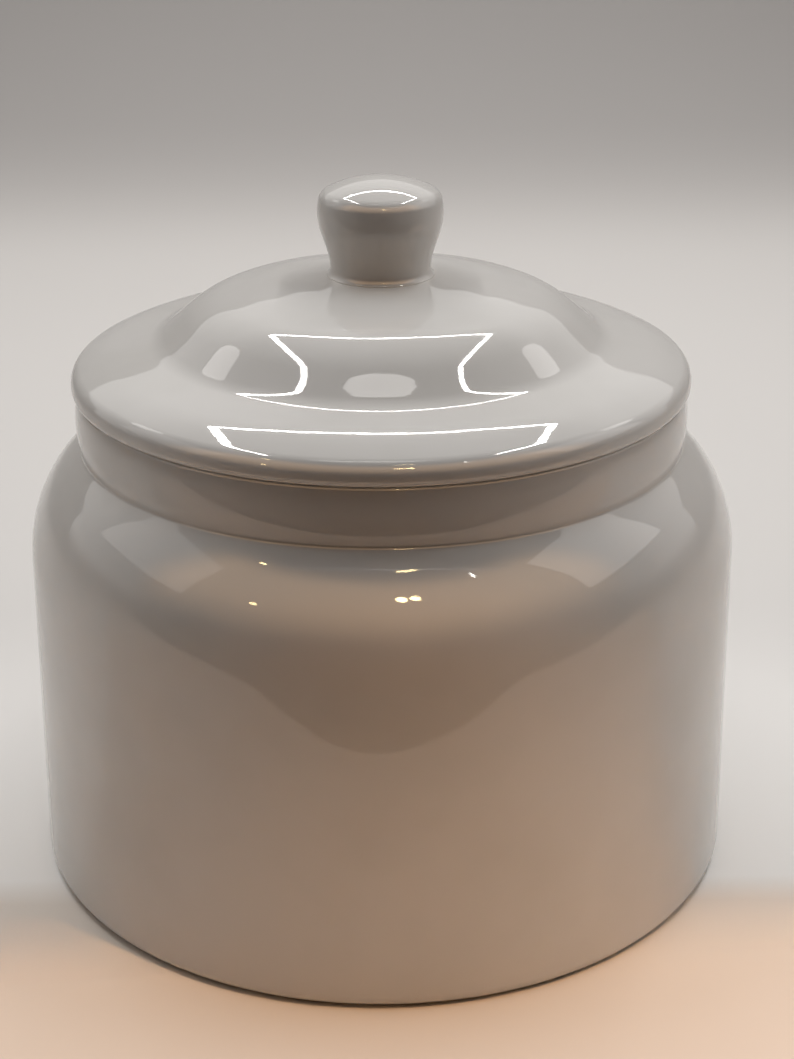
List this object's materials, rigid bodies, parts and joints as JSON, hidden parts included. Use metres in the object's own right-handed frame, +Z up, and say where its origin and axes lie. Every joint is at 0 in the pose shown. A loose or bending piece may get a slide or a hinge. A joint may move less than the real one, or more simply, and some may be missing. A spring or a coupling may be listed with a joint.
{
  "type": "garlic keeper",
  "caption": "Round glazed stoneware keeper with rounded shoulders, a short collar, vent holes at the back and a lift-off domed lid with a knob.",
  "frame": {"origin": "centre of the foot, on the surface that the jar stands on", "axes": "+Z up along the turning axis; +Y towards the wall with the vent holes"},
  "size_m": [0.127, 0.1268, 0.1231],
  "materials": {
    "glaze": "glossy off-white glaze"
  },
  "bodies": {
    "jar": {"jar": "glaze"},
    "lid": {"lid": "glaze", "lid_knob": "glaze"}
  },
  "joints": [
    {"name": "lid_lift", "type": "slide", "parent": "jar", "child": "lid", "axis": [0, 0, 1], "range_m": [0, 0.1]}
  ]
}
